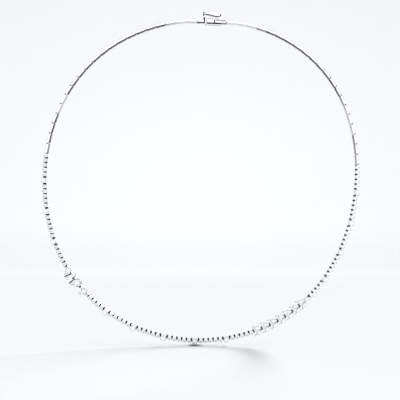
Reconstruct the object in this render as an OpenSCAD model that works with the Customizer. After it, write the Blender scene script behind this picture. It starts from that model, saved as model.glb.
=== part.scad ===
// Riviere necklace: a closed loop of hinged links. Flat bar links run round the nape, and the
// front is a line of small round stones with a larger one after every five, broken by a
// cluster of two pear cut stones and a round one, and by a spray of pointed leaf stones.
// The loop stands in the XZ plane and its stones face -Y. The origin is on the inner side of
// the clasp, where the necklace rests on the nape.

/* [Loop] */
// Mean radius from the loop's middle to the line of the links
loop_r = 67.3; // [64:0.1:71]
// How far the loop is drawn out into an oval
oval = 1.1; // [0:0.1:2]
// Direction in which the oval is longest, turned from +X towards +Z
oval_turn = 71; // [0:1:180]
// How far the loop bulges three ways
three_way = 0.4; // [0:0.05:0.8]
// Direction of the first of the three bulges
three_way_turn = 38; // [0:1:120]
// How far the loop bulges four ways
four_way = 0.65; // [0:0.05:1]
// Direction of the first of the four bulges
four_way_turn = 42; // [0:1:90]
// Direction of the clasp, seen from the loop's middle
clasp_turn = 86.2; // [82:0.2:92]
// How far the stiff clasp flattens the loop
clasp_dip = 0.6; // [0:0.05:0.9]
// How far the faces lean outwards from the loop's plane, in degrees
face_lean = 8; // [0:1:12]

/* [Stone line] */
// Length that one small stone takes up along the line at the sides
side_pitch = 2.015; // [2:0.005:2.2]
// Length that one small stone takes up along the line across the front
front_pitch = 2.065; // [2:0.005:2.2]
// Length that one large stone takes up along the line
large_pitch = 3.0; // [2.9:0.01:3.2]
// Radius of a small stone
small_r = 0.84; // [0.7:0.01:0.85]
// Radius of a large stone
large_r = 1.24; // [1:0.01:1.26]
// How far a large stone stands out past the line
large_out = 0.45; // [0:0.05:0.8]
// Small stones in each run on the right, a large stone between two runs
right_runs = [5, 5, 5, 5, 4];
// Small stones in each run across the front
front_runs = [5, 5, 5, 5, 5, 4];
// Small stones in each run on the left
left_runs = [5, 5, 5, 5];
// How far the stones' middle lies round the loop from the point opposite the clasp
front_shift = -1.1; // [-3:0.1:3]

/* [Bar links] */
// Bar links on each side of the clasp
bars_each_side = 21; // [20:1:22]
// Width of a bar link
bar_w = 1.35; // [1.2:0.05:1.8]
// Thickness of the plate that shows in front
front_plate = 0.55; // [0.5:0.05:0.8]
// Gap between two links
joint_gap = 0.22; // [0.18:0.01:0.3]
// Diameter of a hinge pin
pin_d = 0.36; // [0.3:0.01:0.4]

/* [Spray] */
// Leafy links in the spray, after its end link
spray_links = 6; // [5:1:7]
// Length of one leafy link
spray_pitch = 3.7; // [3.6:0.05:4]
// Length of the end link, which has a third leaf on the line
spray_end = 5.9; // [5.8:0.1:6.2]
// Length of a leaf stone
leaf_l = 2.7; // [2.2:0.05:2.8]
// Width of a leaf stone
leaf_w = 1.35; // [1:0.05:1.45]
// How far the leaves splay from the line, in degrees
leaf_splay = 24; // [20:1:28]

/* [Cluster] */
// Length of the link with the round stone
round_link = 5.3; // [5.2:0.05:5.5]
// Length of the link with the lower pear
low_link = 4.6; // [4.5:0.05:5]
// Length of the link with the upper pear
high_link = 5.85; // [5.7:0.05:6.2]
// Radius of the round stone
round_r = 1.3; // [1.1:0.01:1.32]
// Length and width of the lower pear stone
low_pear = [4.9, 3.1];
// Length and width of the upper pear stone
high_pear = [4.1, 2.6];

/* [Clasp] */
// Half the length of the closed clasp, between its two end joints
clasp_half = 6.3; // [6.3:0.05:6.8]
// Depth of the box that takes the tongue
box_depth = 3.0; // [2.8:0.1:3.4]
// Widest reach of the safety catch beyond the line of the links
catch_top = 4.0; // [3.9:0.05:4.3]

/* [Hidden] */
metal = "silver";
clear = "aliceblue";

// Levels inside a link, measured forwards from the face of the bars
tab_t = 0.35;
layer_gap = 0.12;
back_plate = 0.35;
tab_z = -front_plate - layer_gap - tab_t;
slot_floor = tab_z - layer_gap;
link_back = slot_floor - back_plate;
cup_floor = -0.3;
solder = 0.08;
pin_inset = 0.65;
pin_r = pin_d / 2;
eye_hole_r = pin_r + 0.13;
eye_r = eye_hole_r + 0.17;
slot_r = eye_r + 0.13;
tab_w = 0.56;
cup_base_w = 1.3;

// Proportions of the cut stones and of what holds them
girdle = 0.06;
crown = 0.24;
pavilion_ratio = 0.72;
table_ratio = 0.55;
seat_gap = 0.04;
seat_depth = 0.16;
claw_rise = 0.26;
claw_clear = 0.14;
round_sides = 8;
fancy_sides = 16;
leaf_sides = 12;
small_girdle_z = 0.42;
large_girdle_z = 0.7;
leaf_girdle_z = 0.38;
low_pear_girdle_z = 0.92;
high_pear_girdle_z = 0.75;

// The loop's line, from the clasp clockwise as seen from the front
steps = 720;
dip_spread = 9;
function from_clasp(a) = (a - clasp_turn + 540) % 360 - 180;
function loop_radius(a) = loop_r + oval * cos(2 * (a - oval_turn))
    + three_way * cos(3 * (a - three_way_turn)) + four_way * cos(4 * (a - four_way_turn))
    - clasp_dip * exp(-pow(from_clasp(a) / dip_spread, 2));
function loop_point(a) = loop_radius(a) * [cos(a), sin(a)];

// Where the clasp's frame lies, so that its inner side meets the origin
nape_side = 0.85;
nape_depth = 1.4;
face_y = nape_side * sin(face_lean) - nape_depth * cos(face_lean);
clasp_rise = nape_side * cos(face_lean) + nape_depth * sin(face_lean);
clasp_way = loop_point(clasp_turn - 1) - loop_point(clasp_turn + 1);
clasp_lean = -atan2(clasp_way.y, clasp_way.x);
clasp_along = [cos(clasp_lean), -sin(clasp_lean)];
clasp_up = [sin(clasp_lean), cos(clasp_lean)];
clasp_mid = clasp_rise * clasp_up;
clasp_sag = clasp_half * clasp_half / (2 * loop_r);
loop_shift = clasp_mid + clasp_sag * clasp_up - loop_point(clasp_turn);
line = [for (i = [0:steps]) loop_point(clasp_turn - 360 * i / steps) + loop_shift];
run = [for (i = 0, s = 0; i <= steps;
            s = s + (i < steps ? norm(line[i + 1] - line[i]) : 0), i = i + 1) s];
loop_len = run[steps];
x_along = [for (i = [0:steps]) [run[i], line[i].x]];
z_along = [for (i = [0:steps]) [run[i], line[i].y]];
function along(s) = [lookup(s, x_along), lookup(s, z_along)];

// The links in order, clockwise from the clasp
function many(kind, count) = [for (i = [1:count]) kind];
function stone_runs(runs, small) = [for (i = [0:len(runs) - 1])
    each concat(many(small, runs[i]), i < len(runs) - 1 ? ["large"] : [])];
right_line = stone_runs(right_runs, "side");
front_line = stone_runs(front_runs, "front");
left_line = stone_runs(left_runs, "side");
spray = concat(["spray_end"], many("spray", spray_links));
cluster = ["round", "low", "high"];
links = concat(many("bar_right", bars_each_side), right_line, spray, front_line, cluster,
    left_line, many("bar_left", bars_each_side));

function set_length(kind) = kind == "side" ? side_pitch : kind == "front" ? front_pitch
    : kind == "large" ? large_pitch
    : kind == "spray" ? spray_pitch : kind == "spray_end" ? spray_end
    : kind == "round" ? round_link : kind == "low" ? low_link : kind == "high" ? high_link : 0;
function total(list, i = 0) = i < len(list) ? list[i] + total(list, i + 1) : 0;
front_len = total([for (kind = links) set_length(kind)]);
front_start = (loop_len - front_len) / 2 + front_shift;
front_end = front_start + front_len;
function link_length(kind) = kind == "bar_right" ? (front_start - clasp_half) / bars_each_side
    : kind == "bar_left" ? (loop_len - clasp_half - front_end) / bars_each_side
    : set_length(kind);

// Distance along the line to each joint, and the hinge pin just past it
joints = [for (i = 0, s = clasp_half; i <= len(links);
               s = s + (i < len(links) ? link_length(links[i]) : 0), i = i + 1) s];
pins = [for (i = [0:len(links)])
    i == 0 ? clasp_mid + (pin_inset + clasp_half) * clasp_along
    : i == len(links) ? clasp_mid + (pin_inset - clasp_half) * clasp_along
    : along(joints[i] + pin_inset)];

// Numbers of the first link of each stretch
first_right = bars_each_side;
first_spray = first_right + len(right_line);
first_front = first_spray + len(spray);
first_cluster = first_front + len(front_line);
first_left = first_cluster + len(cluster);
first_left_bar = first_left + len(left_line);
large_links = [for (i = [0:len(links) - 1]) if (links[i] == "large") i];

function span(i) = norm(pins[i + 1] - pins[i]);
function middle(i) = span(i) / 2 - pin_inset;

// Places its children in the frame of link i: x runs along the link from its own hinge pin,
// y points out of the loop and z towards the front
module at_link(i) {
    step = pins[i + 1] - pins[i];
    translate([pins[i].x, face_y, pins[i].y])
        rotate([90 - face_lean, -atan2(step.y, step.x), 0])
            children();
}

// The clasp's own frame, with x = 0 at its middle
module at_clasp() {
    translate([clasp_mid.x, face_y, clasp_mid.y])
        rotate([90 - face_lean, clasp_lean, 0]) children();
}

// Outlines of the cut stones, counter-clockwise, round their deepest point
function round_outline(r, n) = [for (i = [0:n - 1]) r * [cos(360 * i / n), sin(360 * i / n)]];
// A lens: two equal arcs that meet in a point at each end
function leaf_outline(l, w, n) = let (arc_r = (l * l + w * w) / (4 * w))
    [for (i = [0:n - 1]) let (a = 360 * i / n, x = l / 2 * cos(a),
        y = sqrt(arc_r * arc_r - x * x) - (arc_r - w / 2)) [x, sin(a) < 0 ? -y : y]];
// A pear: half a circle, then sides that taper by a cosine to a point at +x
function pear_outline(l, w, n) = [for (i = [0:n - 1])
    let (a = 360 * i / n, x = cos(a) < 0 ? w / 2 * cos(a) : (l - w / 2) * (1 - abs(sin(a))))
    [x, cos(a) < 0 ? w / 2 * sin(a)
        : sign(sin(a)) * w / 2 * cos(90 * x / (l - w / 2))]];

function ring(outline, k, z) = [for (p = outline) [p.x * k, p.y * k, z]];

// A cut stone: a table, a row of crown facets, a girdle and a row of pavilion facets
module cut_stone(outline, depth, crown_h = crown) {
    n = len(outline);
    corners = concat(ring(outline, table_ratio, girdle / 2 + crown_h),
        ring(outline, 1, girdle / 2), ring(outline, 1, -girdle / 2),
        [[0, 0, -girdle / 2 - depth]]);
    table = [[for (i = [n - 1:-1:0]) i]];
    bands = [for (row = [0:1], i = [0:n - 1]) let (a = row * n, j = (i + 1) % n)
        [a + i, a + j, a + n + j, a + n + i]];
    tip = [for (i = [0:n - 1]) [2 * n + i, 2 * n + (i + 1) % n, 3 * n]];
    polyhedron(points = corners, faces = concat(table, bands, tip));
}

module round_stone(r, girdle_z) {
    translate([0, 0, girdle_z])
        cut_stone(round_outline(r, round_sides), r * pavilion_ratio, crown * r / small_r);
}

// A bar up to x1 along its own frame, forked at its start, with the pin across the fork
module slotted_bar(x1, w, top) {
    x0 = joint_gap / 2 - pin_inset;
    difference() {
        translate([x0, -w / 2, link_back]) cube([x1 - x0, w, top - link_back]);
        translate([x0 - 1, -w, slot_floor])
            cube([1 - x0 + slot_r, 2 * w, -front_plate - slot_floor]);
    }
    translate([0, 0, slot_floor - solder])
        cylinder(r = pin_r, h = 2 * solder - front_plate - slot_floor, $fn = 24);
}

// The flat eye that reaches from a link's end at x0 round the next pin, at x1
module eye_tab(x0, x1) {
    translate([0, 0, tab_z]) difference() {
        union() {
            translate([x0 - solder, -tab_w / 2, 0]) cube([x1 - x0 + solder, tab_w, tab_t]);
            translate([x1, 0, 0]) cylinder(r = eye_r, h = tab_t, $fn = 24);
        }
        translate([x1, 0, -1]) cylinder(r = eye_hole_r, h = tab_t + 2, $fn = 24);
    }
}

module hinged_base(i, w, top) {
    x1 = span(i) - pin_inset - joint_gap / 2;
    slotted_bar(x1, w, top);
    eye_tab(x1, span(i));
}

// A round cup and its claws, with the seat of the stone cut out of them
module cup(r, girdle_z, claw_r, claws = 4) {
    tip = girdle_z - girdle / 2 - r * pavilion_ratio;
    rim = girdle_z - 0.2;
    rim_in = r * (rim - tip) / (girdle_z - girdle / 2 - tip) + 0.06;
    foot = cup_floor - solder;
    difference() {
        union() {
            rotate_extrude($fn = 32)
                polygon([[0, foot], [0.6 * r, foot], [r + 0.08, rim], [rim_in, rim],
                    [0, max(tip - 0.06, foot + 0.04)]]);
            for (k = [0:claws - 1]) rotate([0, 0, 45 + 360 * k / claws])
                translate([r + 0.07, 0, rim - 0.3])
                    cylinder(r = claw_r, h = girdle_z + claw_rise - rim + 0.3, $fn = 16);
        }
        translate([0, 0, girdle_z - seat_depth])
            cylinder(r = r + seat_gap, h = seat_depth + claw_clear, $fn = 32);
    }
}

// A basket that follows a pointed outline, with a claw at each of the given outline points
module basket(outline, half_w, girdle_z, claw_r, claw_at) {
    k_out = 1 + 0.12 / half_w;
    k_in = 1 - 0.13 / half_w;
    foot = cup_floor - solder;
    rim = girdle_z - 0.2;
    difference() {
        union() {
            translate([0, 0, foot]) linear_extrude(rim - foot) difference() {
                polygon(outline * k_out);
                polygon(outline * k_in);
            }
            for (k = claw_at) translate([0, 0, rim - 0.2])
                translate(outline[k] * (1 + 0.05 / half_w))
                    cylinder(r = claw_r, h = girdle_z + claw_rise - rim + 0.2, $fn = 16);
        }
        translate([0, 0, girdle_z - seat_depth]) linear_extrude(seat_depth + claw_clear)
            polygon(outline * (1 + seat_gap / half_w));
    }
}

// A flat strip that carries what stands beside a link
module strut(from, to, w = 0.4) {
    way = to - from;
    translate([from.x, from.y, -front_plate]) rotate([0, 0, atan2(way.y, way.x)])
        translate([0, -w / 2, 0]) cube([norm(way), w, cup_floor + front_plate]);
}

// Bar links
module bars(first, count) {
    color(metal) for (i = [first:first + count - 1]) at_link(i) hinged_base(i, bar_w, 0);
}

// Line of round stones
module line_setting(i) {
    big = links[i] == "large";
    at_link(i) {
        hinged_base(i, cup_base_w, cup_floor);
        translate([middle(i), big ? large_out : 0, 0])
            cup(big ? large_r : small_r, big ? large_girdle_z : small_girdle_z, big ? 0.2 : 0.15);
    }
}

module settings(first, stretch) {
    color(metal) for (i = [first:first + len(stretch) - 1]) line_setting(i);
}

module small_stones(first, stretch) {
    color(clear) for (i = [first:first + len(stretch) - 1]) if (links[i] != "large")
        at_link(i) translate([middle(i), 0, 0]) round_stone(small_r, small_girdle_z);
}

module large_stone(number) {
    i = large_links[number - 1];
    color(clear) at_link(i)
        translate([middle(i), large_out, 0]) round_stone(large_r, large_girdle_z);
}

// Spray: places of the leaves and of the outer and inner berries on a link, measured from
// the link's own start along the line and out of it; a leaf also has its turn
leaf_out = 0.98;
outer_leaf = [1.55, leaf_out, leaf_splay];
inner_leaf = [1.5, -leaf_out, -leaf_splay];
end_leaf = [1.42, -0.1, -leaf_splay];
outer_berry = [3.38, 1.95];
inner_berry = [3.3, -2.0];
berry_r = 0.42;
berry_girdle_z = 0.1;
end_shift = spray_end - spray_pitch;
function leaf_shape() = leaf_outline(leaf_l, leaf_w, leaf_sides);
function from_start(p) = [p.x - pin_inset, p.y, 0];
function leaves_of(i) = links[i] == "spray_end"
    ? [outer_leaf + [end_shift + 0.3, 0, 0], inner_leaf + [end_shift + 0.4, 0, 0], end_leaf]
    : [outer_leaf, inner_leaf];
function berries_of(i) = links[i] == "spray_end"
    ? [outer_berry + [end_shift + 0.17, 0.1], inner_berry + [end_shift + 0.25, -0.1]]
    : [outer_berry, inner_berry];

module spray_setting(number) {
    i = first_spray + number - 1;
    color(metal) at_link(i) {
        hinged_base(i, cup_base_w, cup_floor);
        for (leaf = leaves_of(i)) translate(from_start(leaf)) rotate([0, 0, leaf[2]])
            basket(leaf_shape(), leaf_w / 2, leaf_girdle_z, 0.13, [0, 3, 6, 9]);
        for (berry = berries_of(i)) {
            translate(from_start(berry)) cup(berry_r, berry_girdle_z, 0.12);
            strut([berry.x - pin_inset - 0.75, 0], [berry.x - pin_inset, berry.y]);
        }
    }
}

module spray_leaves(pick) {
    color(clear) for (i = [first_spray:first_front - 1]) at_link(i)
        for (k = pick) if (k < len(leaves_of(i))) let (leaf = leaves_of(i)[k])
            translate(from_start(leaf) + [0, 0, leaf_girdle_z]) rotate([0, 0, leaf[2]])
                cut_stone(leaf_shape(), leaf_w * 0.4, crown * 0.9);
}

// Cluster: places on each link, measured from its own start along the line and out of it
round_at = [2.73, -0.3];
low_pear_at = [1.95, -0.55];
low_pear_turn = 58;
high_pear_at = [3.75, -0.3];
high_pear_turn = 115;
accent_r = 0.46;
accent_girdle_z = 0.2;
round_accents = [[0.75, 0.2], [4.55, -0.25], [3.35, 2.1]];
high_accents = [[0.8, -1.45], [1.2, 2.2]];
function low_shape() = pear_outline(low_pear[0], low_pear[1], fancy_sides);
function high_shape() = pear_outline(high_pear[0], high_pear[1], fancy_sides);

module accent_cups(places, hub) {
    for (p = places) {
        translate(from_start(p)) cup(accent_r, accent_girdle_z, 0.12);
        strut([hub.x - pin_inset, 0], [p.x - pin_inset, p.y]);
    }
}

module cluster_setting_round() {
    i = first_cluster;
    color(metal) at_link(i) {
        hinged_base(i, cup_base_w, cup_floor);
        translate(from_start(round_at)) cup(round_r, large_girdle_z + 0.04, 0.2);
        accent_cups(round_accents, round_at);
    }
}

module cluster_setting_low() {
    i = first_cluster + 1;
    color(metal) at_link(i) {
        hinged_base(i, cup_base_w, cup_floor);
        translate(from_start(low_pear_at)) rotate([0, 0, low_pear_turn])
            basket(low_shape(), low_pear[1] / 2, low_pear_girdle_z, 0.2, [0, 3, 6, 10, 13]);
    }
}

module cluster_setting_high() {
    i = first_cluster + 2;
    color(metal) at_link(i) {
        hinged_base(i, cup_base_w, cup_floor);
        translate(from_start(high_pear_at)) rotate([0, 0, high_pear_turn])
            basket(high_shape(), high_pear[1] / 2, high_pear_girdle_z, 0.18, [0, 3, 6, 10, 13]);
        accent_cups(high_accents, [2, 0]);
    }
}

module cluster_round_stone() {
    color(clear) at_link(first_cluster) translate(from_start(round_at))
        round_stone(round_r, large_girdle_z + 0.04);
}

module cluster_low_pear() {
    color(clear) at_link(first_cluster + 1)
        translate(from_start(low_pear_at) + [0, 0, low_pear_girdle_z])
            rotate([0, 0, low_pear_turn]) cut_stone(low_shape(), low_pear[1] * 0.35, 0.42);
}

module cluster_high_pear() {
    color(clear) at_link(first_cluster + 2)
        translate(from_start(high_pear_at) + [0, 0, high_pear_girdle_z])
            rotate([0, 0, high_pear_turn]) cut_stone(high_shape(), high_pear[1] * 0.35, 0.36);
}

module cluster_accent_stones() {
    color(clear) {
        at_link(first_cluster) for (p = round_accents) translate(from_start(p))
            round_stone(accent_r, accent_girdle_z);
        at_link(first_cluster + 2) for (p = high_accents) translate(from_start(p))
            round_stone(accent_r, accent_girdle_z);
    }
}

// Clasp: a spring tongue that snaps into a box, with a hinged catch over both
box_x = [-1.95, 3.95];
box_step = 1.3;
box_low = -nape_side;
box_high = 1.65;
box_front = 0.15;
box_wall = 0.3;
mouth = [1.25, 1.9];
press_x = [-2.73, -2.14];
press_y = [-1.35, 1.85];
hinge_at = [3.65, catch_top - 1];
barrel_r = 1.0;
ear_r = 0.7;
ear_t = 0.35;
catch_z = [-1.7, -0.6];
catch_pin_r = 0.25;
catch_end = [-2.75, catch_top - 0.55];
catch_end_r = 0.55;

module clasp_tongue() {
    start = pin_inset - clasp_half;
    mouth_mid = [(box_low + box_high) / 2, -box_depth / 2];
    color(metal) at_clasp() {
        translate([start, 0, 0]) slotted_bar(-3.2 - start, bar_w, 0);
        translate([-3.2 - solder, -0.5, link_back])
            cube([press_x[0] + 3.2 + 2 * solder, 1, -link_back - 0.45]);
        translate([press_x[0], press_y[0], -2.5])
            cube([press_x[1] - press_x[0], press_y[1] - press_y[0], 2.7]);
        // Folded spring leaf: out along the mouth's back, round its end and forward again
        translate([press_x[1] - solder, mouth_mid[0] - 0.45, -2.2]) cube([3.2, 0.9, 0.25]);
        translate([1.0, mouth_mid[0] - 0.45, -2.075]) rotate([-90, 0, 0])
            cylinder(r = 0.125, h = 0.9, $fn = 24);
        translate([1.0, mouth_mid[0] - 0.45, -2.075]) rotate([0, 20, 0])
            translate([-2.6, 0, 0]) cube([2.6, 0.9, 0.125]);
    }
}

module clasp_housing() {
    color(metal) at_clasp() {
        difference() {
            union() {
                translate([box_x[0], box_low, box_front - box_depth])
                    cube([box_step - box_x[0], box_high - box_low, box_depth]);
                translate([box_step - solder, box_low, box_front - box_depth])
                    cube([box_x[1] - box_step + solder, nape_side - box_low, box_depth]);
                translate([box_x[1] - solder, -bar_w / 2, link_back])
                    cube([clasp_half - joint_gap / 2 - box_x[1] + solder, bar_w, -link_back]);
            }
            // The mouth for the tongue
            translate([box_x[0] - 1, (box_low + box_high) / 2 - 0.7, -2.5])
                cube([1 + box_step - box_x[0], 1.4, 2.0]);
            // A groove across the face where the box ends
            translate([box_step - 0.08, box_low - 1, box_front - 0.3]) cube([0.16, 5, 1]);
        }
        eye_tab(clasp_half - joint_gap / 2, clasp_half + pin_inset);
        // Two ears and the pin of the safety catch
        for (z = [catch_z[0] - 0.1 - ear_t, catch_z[1] + 0.1]) translate([0, 0, z]) {
            translate([hinge_at.x, hinge_at.y, 0]) cylinder(r = ear_r, h = ear_t, $fn = 32);
            translate([hinge_at.x - ear_r, nape_side - solder, 0])
                cube([2 * ear_r, hinge_at.y - nape_side + solder, ear_t]);
        }
        translate([hinge_at.x, hinge_at.y, catch_z[0] - 0.1 - ear_t])
            cylinder(r = catch_pin_r, h = catch_z[1] - catch_z[0] + 0.2 + 2 * ear_t + 0.1, $fn = 24);
    }
}

module safety_catch() {
    thick = catch_z[1] - catch_z[0];
    color(metal) at_clasp() translate([0, 0, catch_z[0]]) {
        difference() {
            union() {
                translate([hinge_at.x, hinge_at.y, 0])
                    cylinder(r = barrel_r, h = thick, $fn = 32);
                translate([catch_end.x, catch_end.y, 0])
                    cylinder(r = catch_end_r, h = thick, $fn = 32);
                linear_extrude(thick) polygon([
                    [hinge_at.x, hinge_at.y + barrel_r], [catch_end.x, catch_end.y + catch_end_r],
                    [catch_end.x, catch_end.y - catch_end_r], [1.7, hinge_at.y - 0.92],
                    [hinge_at.x, hinge_at.y - barrel_r]]);
                // Nib that stops the press plate
                translate([catch_end.x - 0.3, press_y[1] + 0.15, 0])
                    cube([0.55, catch_end.y - press_y[1] - 0.15, thick]);
                // Two ribs for the fingernail
                for (y = [-0.35, 0.35])
                    translate([catch_end.x - catch_end_r + 0.05, catch_end.y + y, -0.1])
                        cylinder(r = 0.27, h = thick + 0.2, $fn = 24);
            }
            translate([hinge_at.x, hinge_at.y, -1])
                cylinder(r = catch_pin_r + 0.06, h = thick + 2, $fn = 24);
        }
    }
}

clasp_housing();
clasp_tongue();
safety_catch();
bars(0, bars_each_side);  // bars_right
bars(first_left_bar, bars_each_side);  // bars_left
settings(first_right, right_line);  // settings_right
settings(first_front, front_line);  // settings_front
settings(first_left, left_line);  // settings_left
small_stones(first_right, right_line);  // small_stones_right
small_stones(first_front, front_line);  // small_stones_front
small_stones(first_left, left_line);  // small_stones_left
for (k = [1:len(large_links)])
    large_stone(k);
cluster_setting_round();
cluster_setting_low();
cluster_setting_high();
cluster_round_stone();
cluster_low_pear();
cluster_high_pear();
cluster_accent_stones();
for (k = [1:len(spray)])
    spray_setting(k);
spray_leaves([0, 2]);  // spray_outer_leaves
spray_leaves([1]);  // spray_inner_leaves
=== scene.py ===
import bpy
import numpy as np
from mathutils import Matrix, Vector


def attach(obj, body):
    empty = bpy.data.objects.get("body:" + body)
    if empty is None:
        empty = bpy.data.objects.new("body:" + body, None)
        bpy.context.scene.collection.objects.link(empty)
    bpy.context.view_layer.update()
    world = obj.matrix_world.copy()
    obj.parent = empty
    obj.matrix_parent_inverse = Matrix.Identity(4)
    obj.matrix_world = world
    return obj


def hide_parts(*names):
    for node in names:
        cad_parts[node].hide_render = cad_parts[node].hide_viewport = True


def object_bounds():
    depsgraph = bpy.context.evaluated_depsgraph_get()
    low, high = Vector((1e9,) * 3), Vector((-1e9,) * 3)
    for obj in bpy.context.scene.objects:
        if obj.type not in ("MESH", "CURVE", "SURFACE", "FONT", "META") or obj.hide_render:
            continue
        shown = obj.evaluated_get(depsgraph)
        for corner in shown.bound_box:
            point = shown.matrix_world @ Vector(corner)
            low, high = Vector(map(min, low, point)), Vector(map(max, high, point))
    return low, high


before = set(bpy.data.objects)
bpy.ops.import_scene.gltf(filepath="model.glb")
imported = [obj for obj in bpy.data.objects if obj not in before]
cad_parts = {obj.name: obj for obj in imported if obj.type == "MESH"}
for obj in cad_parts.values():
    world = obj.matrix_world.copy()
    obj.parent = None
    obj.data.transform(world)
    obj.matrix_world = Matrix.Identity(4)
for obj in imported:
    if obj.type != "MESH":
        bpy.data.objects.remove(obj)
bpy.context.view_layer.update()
mm = 0.001  # all sizes below are in millimetres

# The loop, as the model's own: a circle that swells two, three and four ways and dips at the clasp
loop = {
    "radius": 67.3,
    "swell": ((1.1, 2, 71), (0.4, 3, 38), (0.65, 4, 42)),  # how far, how many ways, direction
    "dip": (0.6, 9.0),  # how far, over how many degrees
    "claspTurn": 86.2,
    "lean": 8.0,  # the faces lean outwards
    "steps": 720,
}
links = {
    "claspHalf": 6.3,
    "barsEachSide": 21,
    "lengths": {"side": 2.015, "front": 2.065, "large": 3.0, "spray": 3.7, "sprayEnd": 5.9,
                "round": 5.3, "low": 4.6, "high": 5.85},
    "rightRuns": (5, 5, 5, 5, 4),
    "frontRuns": (5, 5, 5, 5, 5, 4),
    "leftRuns": (5, 5, 5, 5),
    "sprayLinks": 6,
    "frontShift": -1.1,
    "pinInset": 0.65,
    "nape": (0.85, 1.4),  # the clasp's inner side and its depth behind the faces
}


def loopPoints(turn):
    # radius = r + sum of swell * cos(ways * (turn - direction)) - dip * exp(-(distance / spread)^2)
    radius = loop["radius"] + sum(
        far * np.cos(ways * np.radians(turn - way)) for far, ways, way in loop["swell"])
    away = (turn - loop["claspTurn"] + 540) % 360 - 180
    radius = radius - loop["dip"][0] * np.exp(-(away / loop["dip"][1]) ** 2)
    return np.stack([radius * np.cos(np.radians(turn)), radius * np.sin(np.radians(turn))], -1)


def stoneRuns(runs, small):
    # a run of small stones, a large one, the next run and so on
    kinds = []
    for count in runs:
        kinds += [small] * count + ["large"]
    return kinds[:-1]


leanAngle = np.radians(loop["lean"])
napeSide, napeDepth = links["nape"]
faceY = napeSide * np.sin(leanAngle) - napeDepth * np.cos(leanAngle)
claspRise = napeSide * np.cos(leanAngle) + napeDepth * np.sin(leanAngle)
claspWay = loopPoints(loop["claspTurn"] - 1) - loopPoints(loop["claspTurn"] + 1)
claspWay = claspWay / np.linalg.norm(claspWay)
claspUp = np.array([-claspWay[1], claspWay[0]])
claspMid = claspRise * claspUp
claspSag = links["claspHalf"] ** 2 / (2 * loop["radius"])
turns = loop["claspTurn"] - 360 * np.arange(loop["steps"] + 1) / loop["steps"]
line = loopPoints(turns) + claspMid + claspSag * claspUp - loopPoints(loop["claspTurn"])
run = np.concatenate([[0], np.cumsum(np.linalg.norm(np.diff(line, axis=0), axis=1))])

rightLine = stoneRuns(links["rightRuns"], "side")
sprayLine = ["sprayEnd"] + ["spray"] * links["sprayLinks"]
frontLine = stoneRuns(links["frontRuns"], "front")
clusterLine = ["round", "low", "high"]
leftLine = stoneRuns(links["leftRuns"], "side")
stretches = [rightLine, sprayLine, frontLine, clusterLine, leftLine]
dressed = sum(stretches, [])
dressedLengths = [links["lengths"][kind] for kind in dressed]
barCount = links["barsEachSide"]
kinds = ["bar"] * barCount + dressed + ["bar"] * barCount
frontStart = (run[-1] - sum(dressedLengths)) / 2 + links["frontShift"]
frontEnd = frontStart + sum(dressedLengths)
lengths = np.concatenate([
    np.full(barCount, (frontStart - links["claspHalf"]) / barCount), dressedLengths,
    np.full(barCount, (run[-1] - links["claspHalf"] - frontEnd) / barCount)])
joints = links["claspHalf"] + np.concatenate([[0], np.cumsum(lengths)])
pinRun = joints + links["pinInset"]
pins = np.stack([np.interp(pinRun, run, column) for column in line.T], -1)
pins[0] = claspMid + (links["pinInset"] + links["claspHalf"]) * claspWay
pins[-1] = claspMid + (links["pinInset"] - links["claspHalf"]) * claspWay
ways = np.diff(pins, axis=0)
spans = np.linalg.norm(ways, axis=1)
middles = spans / 2 - links["pinInset"]
firstSpray, firstFront, firstCluster, firstLeft, firstLeftBar = (
    barCount + np.cumsum([len(stretch) for stretch in stretches]))


def lengthOf(vectors):
    return np.linalg.norm(vectors, axis=1)[:, None]


def placeAxes(way):
    # rows: along the link, out of the loop, towards the front, all leant back by the lean angle
    way = np.atleast_2d(way)
    way = way / lengthOf(way)
    (x, z), one = way.T, np.ones(len(way))
    c, s = np.cos(leanAngle), np.sin(leanAngle)
    return np.moveaxis([(x, 0 * one, z), (-z * c, s * one, x * c), (-z * s, -c * one, x * s)], 2, 0)


linkAxes = placeAxes(ways)
linkOrigins = np.stack([pins[:-1, 0], np.full(len(ways), faceY), pins[:-1, 1]], -1)
claspOrigin = np.array([[claspMid[0], faceY, claspMid[1]]])
print("loop worked out:", len(kinds), "links,", round(float(run[-1]), 1), "mm round")


def makeShape(points, polygons, shade=0.0):
    # polygons is a list of index arrays, one array for each number of corners; a shape whose
    # signed volume comes out negative has every polygon turned round
    points = np.asarray(points, float).reshape(-1, 3)
    polygons = [np.asarray(p) for p in polygons]
    volume = sum(np.sum(np.cross(points[p][:, 1:-1], points[p][:, 2:]) * points[p][:, :1])
                 for p in polygons)
    if volume < 0:
        polygons = [p[:, ::-1] for p in polygons]
    sizes = np.concatenate([np.full(len(p), p.shape[1]) for p in polygons])
    return {"points": points, "loops": np.concatenate([p.ravel() for p in polygons]),
            "sizes": sizes, "shade": np.full(len(sizes), float(shade))}


def gridShape(grid, ringed=False, shade=0.0):
    # grid[row, column] holds points; columns close round, and rows either close into a ring or
    # end in one flat polygon each
    rows, columns = grid.shape[:2]
    index = np.arange(rows * columns).reshape(rows, columns)
    lower = index if ringed else index[:-1]
    upper = np.roll(index, -1, 0) if ringed else index[1:]
    quads = np.stack([lower, np.roll(lower, -1, 1), np.roll(upper, -1, 1), upper], -1)
    caps = [] if ringed else [index[0][None, ::-1], index[-1][None]]
    return makeShape(grid, [quads.reshape(-1, 4)] + caps, shade)


def joined(shapes):
    # one shape out of several
    counts = np.cumsum([0] + [len(s["points"]) for s in shapes])
    one = {key: np.concatenate([s[key] for s in shapes]) for key in ("points", "sizes", "shade")}
    return {**one, "loops": np.concatenate([s["loops"] + c for s, c in zip(shapes, counts)])}


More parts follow.
